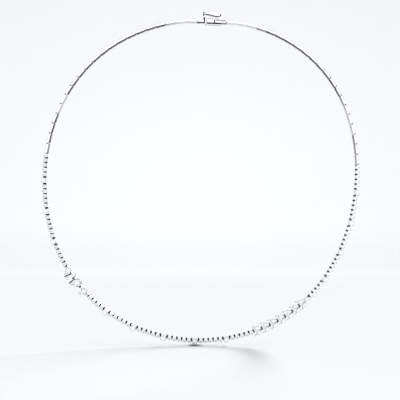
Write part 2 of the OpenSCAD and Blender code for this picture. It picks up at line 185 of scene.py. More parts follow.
def moved(shape, shift=(0, 0, 0), turn=0.0):
    # turned about z by so many degrees, then shifted
    c, s = np.cos(np.radians(turn)), np.sin(np.radians(turn))
    turned = shape["points"] @ np.array([[c, s, 0], [-s, c, 0], [0, 0, 1]])
    return {**shape, "points": turned + np.asarray(shift, float)}


def copiesAt(shape, origins, axes, stretch=None, tones=1.0):
    # world = origin + x * along + y * out + z * front, for every place at once; with stretch, the
    # points past stretchFrom first move on by that place's extra length; tones scale the shade
    local = np.repeat(shape["points"][None], len(origins), 0)
    if stretch is not None:
        local[:, :, 0] += (local[:, :, 0] > stretchFrom) * stretch[:, None]
    world = np.einsum("nvk,nkc->nvc", local, axes) + origins[:, None]
    steps = np.arange(len(origins))[:, None] * len(shape["points"])
    return {"points": world.reshape(-1, 3), "loops": (shape["loops"][None] + steps).ravel(),
            "sizes": np.tile(shape["sizes"], len(origins)),
            "shade": np.outer(np.broadcast_to(tones, len(origins)), shape["shade"]).ravel()}


def onLinks(shape, which, at=None, stretch=None, tones=1.0):
    # a shape on each of these links, at its own x, y, z in the link's frame
    which = np.atleast_1d(which)
    origins = linkOrigins[which]
    if at is not None:
        at = np.broadcast_to(np.asarray(at, float), (len(which), 3))
        origins = origins + np.einsum("nk,nkc->nc", at, linkAxes[which])
    return copiesAt(shape, origins, linkAxes[which], stretch, tones)


def polygonStarts(shape):
    return np.cumsum(shape["sizes"]) - shape["sizes"]


def cornerMiddle(shape, axis):
    # mean of each polygon's corners along one axis
    sums = np.add.reduceat(shape["points"][shape["loops"], axis], polygonStarts(shape))
    return sums / shape["sizes"]


def facing(shape):
    # unit normal of each polygon: the sum of the cross products of its neighbouring corners
    starts = polygonStarts(shape)
    following = np.arange(len(shape["loops"])) + 1
    following[starts + shape["sizes"] - 1] = starts
    corners = shape["points"][shape["loops"]]
    sums = np.add.reduceat(np.cross(corners, corners[following]), starts, axis=0)
    return sums / np.maximum(lengthOf(sums), 1e-12)


def darkened(shape, inner=0.9, back=0.35, lineTo=-9.0, rimFrom=9.0):
    # painted shade: polygons that face the inside of the loop or the back are darkened, and the
    # front has a dark line along its inner edge and a faint one along its outer edge
    y, normal = cornerMiddle(shape, 1), facing(shape)
    front = normal[:, 2] > 0.3
    shade = np.max([inner * (normal[:, 1] < -0.6), back * (normal[:, 2] < -0.6),
                    front * (y < lineTo), link["rimTone"] * front * (y > rimFrom)], 0)
    return {**shape, "shade": np.maximum(shape["shade"], shade)}


def rounded(outline, radius, steps=3):
    # each corner becomes a curve (1-t)^2 a + 2t(1-t) corner + t^2 b, a and b on its two sides
    outline = np.asarray(outline, float)
    back, on = np.roll(outline, 1, 0) - outline, np.roll(outline, -1, 0) - outline
    reach = np.minimum(radius, np.minimum(lengthOf(back), lengthOf(on)) * 0.45)
    a, b = (outline + side / lengthOf(side) * reach for side in (back, on))
    t = np.linspace(0, 1, steps + 1)[None, :, None]
    curve = (1 - t) ** 2 * a[:, None] + 2 * t * (1 - t) * outline[:, None] + t ** 2 * b[:, None]
    return curve.reshape(-1, 2)


def inset(outline, far):
    # every side moves in by far, and each corner to where its two sides then meet
    side = np.roll(outline, -1, 0) - outline
    side = side / lengthOf(side)
    normal = np.stack([-side[:, 1], side[:, 0]], -1)
    before = np.roll(normal, 1, 0)
    return outline + far * (normal + before) / (1 + np.sum(normal * before, 1))[:, None]


def atLevel(outline, z):
    return np.column_stack([outline, np.full(len(outline), z)])


def slab(outline, low, high, edgeLow=0.0, edgeHigh=0.0, steps=2, shade=0.0, sideways=False,
         between=()):
    # an outline, counter-clockwise, carried from low to high; each end is rounded off by a
    # quarter circle: inset = edge * (1 - cos a), height = end - edge * (1 - sin a)
    outline = np.asarray(outline, float)
    angle = np.linspace(0, np.pi / 2, steps + 1)
    sink, rise = 1 - np.cos(angle), 1 - np.sin(angle)
    lowRows, highRows = (
        [(edge * s, end + way * edge * r) for s, r in zip(sink, rise)] if edge else [(0.0, end)]
        for edge, end, way in ((edgeLow, low, 1), (edgeHigh, high, -1)))
    rows = lowRows[::-1] + [(0.0, z) for z in between] + highRows
    grid = np.stack([atLevel(inset(outline, far), z) for far, z in rows])
    if sideways:  # the outline lies in the xz plane, carried along y
        grid = grid[:, :, [0, 2, 1]]
    return gridShape(grid, shade=shade)


def rectangle(x0, x1, y0, y1):
    return np.array([[x0, y0], [x1, y0], [x1, y1], [x0, y1]], float)


def mark(outline, level, shade=1.0, proud=0.01):
    # a thin blackened plate let into a face at this level
    return slab(outline, level - 0.02, level + proud, shade=shade)


def roundOutline(radius, count):
    angle = 2 * np.pi * np.arange(count) / count
    return radius * np.stack([np.cos(angle), np.sin(angle)], -1)


def turnedShape(profile, sides, ringed=False, shade=0.0):
    # a profile of radius and height, turned once round z
    grid = np.stack([atLevel(roundOutline(radius, sides), z) for radius, z in profile])
    return gridShape(grid, ringed, shade)


# Levels inside a link, forwards from the face of the bars
link = {
    "barWidth": 1.35, "baseWidth": 1.3, "frontPlate": 0.55, "gap": 0.22,
    "tab": (-1.02, -0.67), "tabWidth": 0.56, "slot": (-1.14, -0.55), "slotEnd": 0.61,
    "back": -1.49, "cupFloor": -0.3, "pinRadius": 0.18, "eye": (0.31, 0.48), "edge": 0.07,
    # lineTo, rimFrom, rimTone: painted shade lines on the front; lip: painted gap shade past the
    # ends
    "lineTo": -0.27, "rimFrom": 0.5, "rimTone": 0.45, "lip": 0.1, "proud": 0.012, "strut": 0.4,
}
# links are drawn at one length from pin to pin, and each copy is stretched to its own
referenceSpan, stretchFrom = 4.0, 0.8
into = 0.08  # how far a part is let into the one beside it
linkStart = link["gap"] / 2 - links["pinInset"]
linkEnd = referenceSpan - links["pinInset"] - link["gap"] / 2


def forkedBar(width, top, endX, between=()):
    # side view with the slot for the next link's tab, carried across the width
    (low, high), end, back, edge = link["slot"], link["slotEnd"], link["back"], link["edge"]
    outline = rounded([[linkStart, back], [endX, back], [endX, top], [linkStart, top],
                       [linkStart, high], [end, high], [end, low], [linkStart, low]], edge, 2)
    body = slab(outline, -width / 2, width / 2, edge, edge, sideways=True, between=between)
    # the pin in the slot is darkened as painted shade
    pin = turnedShape([[link["pinRadius"], low - 0.05], [link["pinRadius"], high + 0.05]], 10,
                      shade=0.6)
    return joined([body, pin])


def eyeTab(startX, endX):
    # a flat strip that ends in a ring round the next pin, black all over as painted shade in the
    # gap
    low, high = link["tab"]
    half = link["tabWidth"] / 2
    strip = slab(rectangle(startX - into, endX - 0.36, -half, half), low, high, 0.03, 0.03, 1,
                 shade=1.0)
    inner, outer = link["eye"]
    ring = turnedShape([[inner, low + 0.03], [inner + 0.03, low], [outer - 0.04, low],
                        [outer, low + 0.04], [outer, high - 0.04], [outer - 0.04, high],
                        [inner + 0.03, high], [inner, high - 0.03]], 20, True, 1.0)
    return joined([strip, moved(ring, (endX, 0, 0))])


def hingedBase(width, top, inner=0.7, lined=True):
    lines = (link["lineTo"], link["rimFrom"])
    body = darkened(forkedBar(width, top, linkEnd, lines), inner, 0.35, *(lines if lined else ()))
    return joined([body, eyeTab(linkEnd, referenceSpan)])


def dressedBase(startDark, endDark, shadeFrom=-0.66, shadeTo=0.52, fadeTo=0.0):
    # under the stones the base is bright but for painted shade in the gap at each end: a black
    # plate on top and a black block on the inner side, across the link between the third and fourth
    # arguments, with a paler plate on to fadeTo; their lips all but close the gap to the next link
    half, top, proud = link["baseWidth"] / 2, link["cupFloor"], link["proud"]
    gapShades = []
    for low, high in ((linkStart - link["lip"], linkStart + startDark),
                      (linkEnd - endDark, linkEnd + link["lip"])):
        gapShades.append(mark(rectangle(low, high, -half - proud, shadeTo), top, 1.0, proud))
        gapShades.append(slab(rounded(rectangle(low, high, shadeFrom, -half + 0.04), 0.09, 2),
                            link["back"] + 0.05, top, 0.06, 0.06, shade=1.0))
        if fadeTo:
            gapShades.append(mark(rectangle(low, high, shadeTo, fadeTo), top, 0.5, proud))
    return joined([hingedBase(link["baseWidth"], top, 0.25, False)] + gapShades)


def basesOn(shape, which, tones=1.0):
    return onLinks(shape, which, stretch=spans[which] - referenceSpan, tones=tones)


# Cut stones: sizes of a round brilliant as shares of its radius, used for the other cuts too
cut = {
    "girdle": 0.06, "table": 0.55, "star": 0.78, "lower": 0.24, "crown": 2 / 7, "pavilion": 0.72,
    # the facet tones are painted reflections, shares of the grey mixed into the stone's colour
    "starTones": (0.55, 0.2), "upperTones": (0.4, 0.1, 0.1, 0.4), "lowerTones": (0.2, 0.5),
    "kiteTones": (0.0, 0.12), "girdleTones": (0.7,), "mainTones": (0.1, 0.7),
    "tableTones": (0.0,),
}


def leafOutline(long, wide, count):
    # a lens: two equal arcs of radius (l^2 + w^2) / 4w that meet in a point at each end
    c, s = roundOutline(1.0, count).T
    arc = (long ** 2 + wide ** 2) / (4 * wide)
    x = long / 2 * c
    y = np.sqrt(arc ** 2 - x ** 2) - (arc - wide / 2)
    return np.stack([x, np.where(s < 0, -y, y)], -1)


def pearOutline(long, wide, count):
    # half a circle, then sides that taper by a cosine to a point at +x
    c, s = roundOutline(1.0, count).T
    half, tip, pointed = wide / 2, long - wide / 2, c >= -1e-9
    x = np.where(pointed, tip * (1 - np.abs(s)), half * c)
    y = np.where(pointed, np.sign(s) * half * np.cos(np.pi / 2 * x / tip), half * s)
    return np.stack([x, y], -1)


def cutStone(outline, depth, crown, contrast=1.0):
    # even outline points carry the main facets. Heights put each kite on one plane: a point at
    # share k of the way out stands at crown * (1 - (k * c - table) / (1 - table)) above the
    # girdle and depth * (1 - k * c) below it, with c = cos(half the angle between two mains)
    n = len(outline) // 2
    c = np.cos(np.pi / n)
    half = cut["girdle"] / 2
    starZ = crown * (1 - (cut["star"] * c - cut["table"]) / (1 - cut["table"]))
    lowerZ = -depth * (1 - cut["lower"] * c)
    points = np.concatenate([
        atLevel(outline[0::2] * cut["table"], half + crown),
        atLevel(outline[1::2] * cut["star"], half + starZ),
        atLevel(outline, half), atLevel(outline, -half),
        atLevel(outline[1::2] * cut["lower"], lowerZ - half), [[0, 0, -half - depth]]])
    i = np.arange(n)
    on, back = (i + 1) % n, (i - 1) % n
    table, star, lower = i, n + i, 6 * n + i
    top, bottom = 2 * n + np.arange(2 * n), 4 * n + np.arange(2 * n)
    even, odd, next2 = 2 * i, 2 * i + 1, (2 * i + 2) % (2 * n)
    triangles = np.concatenate([
        np.stack([table, star, table[on]], -1),
        np.stack([star, top[even], top[odd]], -1), np.stack([star, top[odd], top[next2]], -1),
        np.stack([lower, bottom[odd], bottom[even]], -1),
        np.stack([lower, bottom[next2], bottom[odd]], -1)])
    kites = np.concatenate([
        np.stack([table, star[back], top[even], star], -1),
        np.stack([bottom, np.roll(bottom, -1), np.roll(top, -1), top], -1),
        np.stack([np.full(n, 7 * n), lower, bottom[even], lower[back]], -1)])
    shape = makeShape(points, [triangles, kites, table[None]])
    # painted reflections: each kind of facet has its own two tones in turn, for their differing
    # reflections
    tones = [np.resize(cut[kind + "Tones"], count) for kind, count in (
        ("star", n), ("upper", 2 * n), ("lower", 2 * n), ("kite", n), ("girdle", 2 * n),
        ("main", n), ("table", 1))]
    return {**shape, "shade": np.minimum(contrast * np.concatenate(tones), 1.0)}


def roundStone(radius, girdleZ, contrast=1.0, outer=0.0, table=0.0, inner=0.0, ends=0.0):
    # the last four add painted shade and reflections, deepening the facets towards the outside of
    # the loop, the flat in the middle, the facets towards the inside and those next to the
    # neighbouring links
    stone = cutStone(roundOutline(radius, 16), radius * cut["pavilion"], radius * cut["crown"],
                     contrast)
    x, y = (cornerMiddle(stone, axis) / radius for axis in (0, 1))
    deeper = (np.abs(x) < 0.45) * (outer * (y > 0.4) + inner * (y < -0.4))
    stone["shade"] = np.minimum(stone["shade"] + deeper + ends * (np.abs(x) > 0.75), 1.0)
    stone["shade"][-1] += table
    return moved(stone, (0, 0, girdleZ))


claw = {"rise": 0.26, "lean": 0.15, "sides": 8}


def clawShape(radius, footZ, girdleZ, thick, shade=0.0):
    # a round rod carried up from the foot; near the top its middle moves in by lean * s^2 and
    # its radius shrinks as sqrt(1 - s^2), with s from 0 at the girdle to 1 at the tip
    s = np.array([0.0, 0.0, 0.35, 0.6, 0.8, 0.93])
    z = np.where(s > 0, girdleZ + 0.02 + (claw["rise"] - 0.02) * s, girdleZ)
    z[0] = footZ
    middle, width = radius - claw["lean"] * s ** 2, thick * np.sqrt(1 - s ** 2)
    grid = np.stack([atLevel(roundOutline(wide, claw["sides"]) + (x, 0), level)
                     for x, wide, level in zip(middle, width, z)])
    return gridShape(grid, shade=shade)


def cupShape(radius, girdleZ, thick, sides=24, lip=0.01, lipShade=0.0):
    # a cone that opens to a thin lip round the stone, hollow inside, with four claws; painted shade
    # lies on the lip's top and on the two inner claws where they face the neighbouring links
    foot, rim = link["cupFloor"] - into, girdleZ - 0.2
    tip = girdleZ - cut["girdle"] / 2 - radius * cut["pavilion"]
    inside = max(tip - 0.06, foot + 0.04)
    bowl = turnedShape([
        [0.02, foot], [0.6 * radius, foot], [0.66 * radius, foot + 0.1],
        [0.7 * radius, foot + 0.13], [radius - 0.03, rim - 0.09], [radius + lip, rim - 0.05],
        [radius + lip, rim], [radius - 0.02, rim + 0.02], [radius - 0.08, rim],
        [0.02, inside]], sides)
    bowl["shade"] = lipShade * (facing(bowl)[:, 2] > 0.5)
    claws = [moved(clawShape(radius + 0.07, rim - 0.3, girdleZ, thick), turn=45 + 90 * k)
             for k in range(4)]
    for shape, way in ((claws[2], -1), (claws[3], 1)):
        shape["shade"] = 1.0 * (facing(shape)[:, 0] * way > 0.2)
    return joined([bowl] + claws)


def basketShape(outline, halfWide, girdleZ, thick, clawAt, clawShades, lipShade):
    # a wall that follows the outline and narrows towards its foot, with claws on the outline, all
    # taking painted shade as clawShades and lipShade say
    foot, rim = link["cupFloor"] - into, girdleZ - 0.2
    rows = [(1 + 0.12 / halfWide - 0.1, foot), (1 + 0.12 / halfWide - 0.05, foot + 0.12),
            (1 + 0.1 / halfWide, rim - 0.06), (1 + 0.12 / halfWide, rim - 0.03),
            (1 + 0.11 / halfWide, rim), (1 - 0.13 / halfWide, rim - 0.02),
            (1 - 0.2 / halfWide, foot)]
    grid = np.stack([atLevel(outline * k, z) for k, z in rows])
    claws = []
    for k, shade in zip(clawAt, clawShades):
        point = outline[k] * (1 + 0.05 / halfWide)
        claws.append(moved(clawShape(np.hypot(*point), rim - 0.2, girdleZ, thick, shade),
                           turn=np.degrees(np.arctan2(point[1], point[0]))))
    wall = gridShape(grid, True)
    wall["shade"] = lipShade * (facing(wall)[:, 2] > 0.7)
    return joined([wall] + claws)


def fromStart(place):
    # from a place measured from the link's start, along it and out of the loop
    return np.array([place[0] - links["pinInset"], place[1], 0.0])


def strutShape(hub, place):
    # a flat strip from the link's middle line, at hub, to a place beside it, with its top level
    # with the cups' floor
    start = fromStart((hub, 0))
    x, y, _ = fromStart(place) - start
    strip = slab(rectangle(0, np.hypot(x, y), -link["strut"] / 2, link["strut"] / 2),
                 -link["frontPlate"], link["cupFloor"], 0.04, 0.06)
    return moved(strip, start, np.degrees(np.arctan2(y, x)))


class Wire:
    # an output socket that takes part in plain arithmetic on either side of the sign; each sum
    # adds its Math node
    def __init__(self, tree, socket):
        self.tree, self.socket = tree, socket

    def maths(self, operation, first, second):
        return newNode(self.tree, "Math", {0: first, 1: second}, operation=operation)[0]

    def __add__(self, other):
        return self.maths("ADD", self, other)

    def __radd__(self, other):
        return self.maths("ADD", other, self)

    def __sub__(self, other):
        return self.maths("SUBTRACT", self, other)

    def __rsub__(self, other):
        return self.maths("SUBTRACT", other, self)

    def __mul__(self, other):
        return self.maths("MULTIPLY", self, other)

    def __rmul__(self, other):
        return self.maths("MULTIPLY", other, self)


def newNode(tree, kind, sockets=(), **settings):
    # sockets by name or number, filled after the settings; returns the outputs in use
    made = tree.nodes.new("ShaderNode" + kind)
    for name, value in settings.items():
        setattr(made, name, value)
    for key, value in dict(sockets).items():
        if isinstance(value, Wire):
            tree.links.new(value.socket, made.inputs[key])
        else:
            made.inputs[key].default_value = value
    return [Wire(tree, out) for out in made.outputs if out.enabled]


def newFinish(name, build):
    material = bpy.data.materials.new(name)
    material.use_nodes = True
    tree = material.node_tree
    tree.nodes.clear()
    shader = build(tree)
    newNode(tree, "OutputMaterial", {"Surface": shader})
    return material


def objectNoise(tree, scale, detail=2.0, roughness=0.5):
    # scale counts the pattern's waves in a metre
    where = newNode(tree, "TexCoord")[3]
    return newNode(tree, "TexNoise", {
        "Vector": where, "Scale": scale, "Detail": detail, "Roughness": roughness})[0]


def colourMix(tree, factor, first, second, clamped=True):
    return newNode(tree, "Mix", {0: factor, 6: first, 7: second}, data_type="RGBA",
                   clamp_factor=clamped)[0]


def vectorMath(tree, operation, *values):
    return newNode(tree, "VectorMath", dict(enumerate(values)), operation=operation)[0]


def smoothRise(tree, value, start, end):
    # 0 up to start, 1 from end on, and 3t^2 - 2t^3 between them
    return newNode(tree, "MapRange", {"Value": value, "From Min": start, "From Max": end},
                   interpolation_type="SMOOTHSTEP")[0]


metalLook = {
    "bright": (0.985, 0.985, 0.99, 1), "pale": (0.93, 0.935, 0.95, 1),
    "black": (0.006, 0.006, 0.007, 1), "paintedShade": (0.02, 0.02, 0.022, 1), "cloud": 420.0,
    "grain": 5200.0, "roughness": 0.1, "bump": 0.02,
}


def whiteMetal(tree):
    # bright polish with slow clouding and a fine grain in the gloss; a matt black is mixed in as
    # painted shade, as much of it as each polygon's shade says
    cloud = objectNoise(tree, metalLook["cloud"], 3.0)
    grain = objectNoise(tree, metalLook["grain"], roughness=0.6)
    shade = newNode(tree, "Attribute", attribute_name="shade")[2]
    bump = newNode(tree, "Bump", {
        "Strength": metalLook["bump"], "Distance": 0.0001, "Height": grain})[0]
    polish = newNode(tree, "BsdfPrincipled", {
        "Base Color": colourMix(tree, cloud, metalLook["bright"], metalLook["pale"]),
        "Metallic": 1.0, "Roughness": metalLook["roughness"] + 0.08 * grain, "Normal": bump})[0]
    paintedShade = newNode(tree, "BsdfPrincipled", {
        "Base Color": colourMix(tree, grain, metalLook["black"], metalLook["paintedShade"]),
        "Roughness": 0.9, "Specular IOR Level": 0.05})[0]
    return newNode(tree, "MixShader", {0: shade, 1: polish, 2: paintedShade})[0]


stoneLook = {
    "clear": (1.0, 1.0, 1.0, 1), "cool": (0.95, 0.97, 1.0, 1), "grey": (0.12, 0.13, 0.15, 1),
    "veil": 900.0, "index": 2.417, "through": 0.15, "paintedGlow": 0.1,
}


def clearStone(tree):
    # colourless, with a faint cool veil; facets of differing tone are painted reflections, and the
    # colour glows faintly as painted light
    veil = objectNoise(tree, stoneLook["veil"], 1.0)
    clear = colourMix(tree, veil, stoneLook["clear"], stoneLook["cool"])
    tone = newNode(tree, "Attribute", attribute_name="shade")[2]
    colour = colourMix(tree, tone, clear, stoneLook["grey"])
    return newNode(tree, "BsdfPrincipled", {
        "Base Color": colour, "Roughness": 0.02, "IOR": stoneLook["index"],
        "Transmission Weight": stoneLook["through"], "Emission Color": colour,
        "Emission Strength": stoneLook["paintedGlow"]})[0]


metalFinish = newFinish("whiteMetal", whiteMetal)
stoneFinish = newFinish("clearStone", clearStone)
print("finishes made")


def addObject(name, data):
    added = bpy.data.objects.new(name, data)
    bpy.context.scene.collection.objects.link(added)
    return added


def makePiece(name, shapes, nodes=(), body="necklace", finish=metalFinish, smoothTo=50.0):
    # whole arrays go into the mesh; edges sharper than smoothTo stay crisp, and normals weighted
    # by area keep the flat faces flat up to their rounded edges
    shape = joined(shapes)
    mesh = bpy.data.meshes.new(name)
    mesh.vertices.add(len(shape["points"]))
    mesh.vertices.foreach_set("co", (shape["points"] * mm).astype(np.float32).ravel())
    mesh.loops.add(len(shape["loops"]))
    mesh.loops.foreach_set("vertex_index", shape["loops"].astype(np.int32))
    mesh.polygons.add(len(shape["sizes"]))
    mesh.polygons.foreach_set("loop_start", polygonStarts(shape).astype(np.int32))
    mesh.update(calc_edges=True)
    mesh.polygons.foreach_set("use_smooth", np.full(len(shape["sizes"]), smoothTo > 0))
    if smoothTo > 0:
        mesh.set_sharp_from_angle(angle=float(np.radians(smoothTo)))
    shade = mesh.attributes.new("shade", "FLOAT", "FACE")
    shade.data.foreach_set("value", shape["shade"].astype(np.float32))
    mesh.materials.append(finish)
    piece = addObject(name, mesh)
    if smoothTo > 0:
        piece.modifiers.new("weightedNormals", "WEIGHTED_NORMAL").keep_sharp = True
    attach(piece, body)
    if nodes:
        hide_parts(*nodes)


def makeStones(name, shapes, nodes=()):
    makePiece(name, shapes, nodes, finish=stoneFinish, smoothTo=0.0)


# Bars; the painted shade of the inner line is lighter near the clasp and here and there further on
barLineShade = {
    # which bars, and how black the line is there
    "right": ((0, 2, 3.5, 13, 15, 17, 18, 21), (0.35, 0.4, 1, 1, 0.55, 0.5, 0.9, 0.6)),
    "left": ((0, 1, 3, 4, 5, 6, 17, 18.5, 20), (0.75, 1, 1, 0.5, 0.5, 1, 1, 0.4, 0.45)),
    "rightEnds": ((8, 11), (0, 1)), "leftEnds": ((6, 9), (1, 0)),
    "endMark": (0.44, 0.05, 0.66),  # painted shade on the outer corner at a bar's end, by the joint: long, from, to
}
barShape = hingedBase(link["barWidth"], 0.0)
markLong, markFrom, markTo = barLineShade["endMark"]
endMark = slab(rectangle(linkEnd - markLong, linkEnd, markFrom, markTo), -0.09, 0.01, shade=1.0)
number = np.arange(barCount)
for side, first in (("right", 0), ("left", firstLeftBar)):
    makePiece("bars" + side.title(), [
        basesOn(barShape, first + number, np.interp(number, *barLineShade[side])),
        basesOn(endMark, first + number, np.interp(number, *barLineShade[side + "Ends"]))],
        ["bars_" + side])
print("bars made")

# Line of round stones; painted shade at the link ends as dressedBase takes it, painted shade and
# reflections on the stones as roundStone takes them
small = {
    "radius": 0.84, "girdleZ": 0.42, "claw": 0.15, "contrast": 0.75,
    "gapShades": {"Right": (0.19, 0.19, -0.85, 0.05), "Front": (0.22, 0.22, -0.9, 0.1, 0.6),
                "Left": (0.3, 0.3, -0.66, 0.55)},
    "tones": {"Right": {"outer": 0.75}, "Front": {"outer": 0.45, "table": 0.35},
              "Left": {"outer": 0.55, "table": 0.35, "inner": 0.25, "ends": 0.35}},
}
large = {"radius": 1.24, "girdleZ": 0.7, "claw": 0.2, "contrast": 1.2, "out": 0.45}
smallCup = cupShape(small["radius"], small["girdleZ"], small["claw"])
largeCup = cupShape(large["radius"], large["girdleZ"], large["claw"], 28, 0.06, 0.7)
largeStone = roundStone(large["radius"], large["girdleZ"], large["contrast"])
largeLinks = [i for i, kind in enumerate(kinds) if kind == "large"]


def middleOf(which, out=0.0):
    return np.stack([middles[which], np.full(len(which), out), np.zeros(len(which))], -1)


for side, first, stretch in (("Right", barCount, rightLine), ("Front", firstFront, frontLine),
                             ("Left", firstLeft, leftLine)):
    which = first + np.arange(len(stretch))
    isLarge = np.array([kind == "large" for kind in stretch])
    smallOnes, largeOnes = which[~isLarge], which[isLarge]
    makePiece("settings" + side, [
        basesOn(dressedBase(*small["gapShades"][side]), which),
        onLinks(smallCup, smallOnes, middleOf(smallOnes)),
        onLinks(largeCup, largeOnes, middleOf(largeOnes, large["out"]))],
        ["settings_" + side.lower()])
    smallStone = roundStone(small["radius"], small["girdleZ"], small["contrast"],
                            **small["tones"][side])
    makeStones("smallStones" + side, [onLinks(smallStone, smallOnes, middleOf(smallOnes))],
               ["small_stones_" + side.lower()])
for number, i in enumerate(largeLinks, 1):
    makeStones(f"largeStone{number}", [onLinks(largeStone, [i], middleOf([i], large["out"]))],
               [f"large_stone_{number}"])
print("stone line made:", len(largeLinks), "larger stones")

# Spray: places are measured from the link's start, leaves with their turn
spray = {
    "leaf": (2.7, 1.35), "leafZ": 0.38, "leafCrown": 0.216, "leafDepth": 0.4, "claw": 0.13,
    "outerLeaf": (1.55, 0.98, 24), "innerLeaf": (1.5, -0.98, -24), "endLeaf": (1.42, -0.1, -24),
    "outerBerry": (3.38, 1.95), "innerBerry": (3.3, -2.0), "berry": 0.42, "berryZ": 0.1,
    # the last entry here is the painted shade at the link ends, as dressedBase takes it
    "berryClaw": 0.12, "strut": 0.75, "gapShade": (0.55, 0.25, -0.66, 0.45),
    "endMore": {"outerLeaf": (2.5, 0, 0), "innerLeaf": (2.6, 0, 0),  # on the longer end link
                "outerBerry": (2.37, 0.1), "innerBerry": (2.45, -0.1)},
}
sprayBase = dressedBase(*spray["gapShade"])
leafLine = leafOutline(*spray["leaf"], 32)
leafHalf = spray["leaf"][1] / 2
leafBasket = basketShape(leafLine, leafHalf, spray["leafZ"], spray["claw"], (0, 8, 16, 24),
                         (0.0, 0.3, 0.6, 0.3), 0.55)
leafStone = moved(cutStone(leafOutline(*spray["leaf"], 24), spray["leaf"][1] * spray["leafDepth"],
                           spray["leafCrown"]), (0, 0, spray["leafZ"]))
berryCup = cupShape(spray["berry"], spray["berryZ"], spray["berryClaw"], 16, 0.06, 0.6)
berryStone = roundStone(spray["berry"], spray["berryZ"])
outerLeaves, innerLeaves, berryStones = [], [], []
for number, kind in enumerate(sprayLine):
    i, isEnd = firstSpray + number, kind == "sprayEnd"
    outer, inner, *berries = [np.add(spray[key], spray["endMore"][key] if isEnd else 0)
                              for key in ("outerLeaf", "innerLeaf", "outerBerry", "innerBerry")]
    leaves = [outer, inner] + ([spray["endLeaf"]] if isEnd else [])
    parts = [moved(leafBasket, fromStart(leaf), leaf[2]) for leaf in leaves]
    parts += [moved(berryCup, fromStart(berry)) for berry in berries]
    parts += [strutShape(berry[0] - spray["strut"], berry) for berry in berries]
    makePiece(f"spraySetting{number + 1}",
              [basesOn(sprayBase, [i]), onLinks(joined(parts), [i])],
              [f"spray_setting_{number + 1}"])
    stones = [onLinks(moved(leafStone, fromStart(leaf), leaf[2]), [i]) for leaf in leaves]
    innerLeaves.append(stones.pop(1))
    outerLeaves += stones
    berryStones += [onLinks(moved(berryStone, fromStart(berry)), [i]) for berry in berries]
makeStones("sprayOuterLeaves", outerLeaves, ["spray_outer_leaves"])
makeStones("sprayInnerLeaves", innerLeaves, ["spray_inner_leaves"])
makeStones("sprayBerryStones", berryStones)
print("spray made:", len(outerLeaves) + len(innerLeaves), "leaves")

# Cluster of two pears and a round stone
cluster = {
    "round": 1.3, "roundAt": (2.73, -0.3), "roundZ": 0.74, "roundClaw": 0.2,
    "lowPear": (4.9, 3.1), "lowAt": (1.95, -0.55), "lowTurn": 58, "lowZ": 0.92,
    "highPear": (4.1, 2.6), "highAt": (3.75, -0.3), "highTurn": 115, "highZ": 0.75,
    "accent": 0.46, "accentZ": 0.2, "roundAccents": ((0.75, 0.2), (4.55, -0.25), (3.35, 2.1)),
    # the last entry here is the painted shade at the link ends, as dressedBase takes it
    "highAccents": ((0.8, -1.45), (1.2, 2.2)), "highHub": 2.0, "gapShade": (0.2, 0.2),
    "pearDepth": 0.35, "crowns": (0.42, 0.36), "claws": (0.2, 0.18), "roundContrast": 2.0,
    "pearContrast": 2.4, "shadeBand": (12, 0.02, 0.4),  # points; inside and outside the stone's edge
}
baseShape = dressedBase(*cluster["gapShade"])
accentCup = cupShape(cluster["accent"], cluster["accentZ"], 0.12, 16, 0.08, 0.8)
accentStone = roundStone(cluster["accent"], cluster["accentZ"])


def accentParts(places, hub):
    return [moved(accentCup, fromStart(p)) for p in places] + [strutShape(hub, p) for p in places]


def pearParts(size, place, turn, girdleZ, crown, thick, darkSide):
    # darkSide, 1 or -1, is the side whose rim carries a broad band of painted shade from the point
    # on
    outline, (count, bandFrom, bandTo) = pearOutline(*size, 48), cluster["shadeBand"]
    near = np.arange(count) * darkSide
    shadeBand = np.concatenate([inset(outline, bandFrom)[near], inset(outline, -bandTo)[near[::-1]]])
    basket = basketShape(outline, size[1] / 2, girdleZ, thick, (0, 9, 18, 30, 39),
                         (1.0, 1.0, 0.2, 0.6, 0.2), 0.8)
    basket = joined([basket, slab(shadeBand, girdleZ - 0.3, girdleZ - 0.17, shade=1.0)])
    stone = cutStone(pearOutline(*size, 32), size[1] * cluster["pearDepth"], crown,
                     cluster["pearContrast"])
    return (moved(basket, fromStart(place), turn),
            moved(stone, fromStart(place) + (0, 0, girdleZ), turn))


roundLink, lowLink, highLink = firstCluster, firstCluster + 1, firstCluster + 2
roundAt, roundZ = fromStart(cluster["roundAt"]), cluster["roundZ"]
roundCup = moved(cupShape(cluster["round"], roundZ, cluster["roundClaw"], 28, 0.1, 0.9), roundAt)
roundGem = moved(roundStone(cluster["round"], roundZ, cluster["roundContrast"]), roundAt)
(lowBasket, lowStone), (highBasket, highStone) = [
    pearParts(cluster[pear + "Pear"], cluster[pear + "At"], cluster[pear + "Turn"],
              cluster[pear + "Z"], cluster["crowns"][k], cluster["claws"][k], (-1, 1)[k])
    for k, pear in enumerate(("low", "high"))]
for kind, i, parts in (
        ("Round", roundLink,
         [roundCup] + accentParts(cluster["roundAccents"], cluster["roundAt"][0])),
        ("Low", lowLink, [lowBasket]),
        ("High", highLink,
         [highBasket] + accentParts(cluster["highAccents"], cluster["highHub"]))):
    makePiece("clusterSetting" + kind,
              [basesOn(baseShape, [i]), onLinks(joined(parts), [i])],
              ["cluster_setting_" + kind.lower()])
for name, i, stone, node in (("RoundStone", roundLink, roundGem, "round_stone"),
                             ("LowPear", lowLink, lowStone, "low_pear"),
                             ("HighPear", highLink, highStone, "high_pear")):
    makeStones("cluster" + name, [onLinks(stone, [i])], ["cluster_" + node])
makeStones("clusterAccentStones",
           [onLinks(moved(accentStone, fromStart(place)), [i]) for i, places in (
               (roundLink, cluster["roundAccents"]), (highLink, cluster["highAccents"]))
            for place in places], ["cluster_accent_stones"])
print("cluster made")

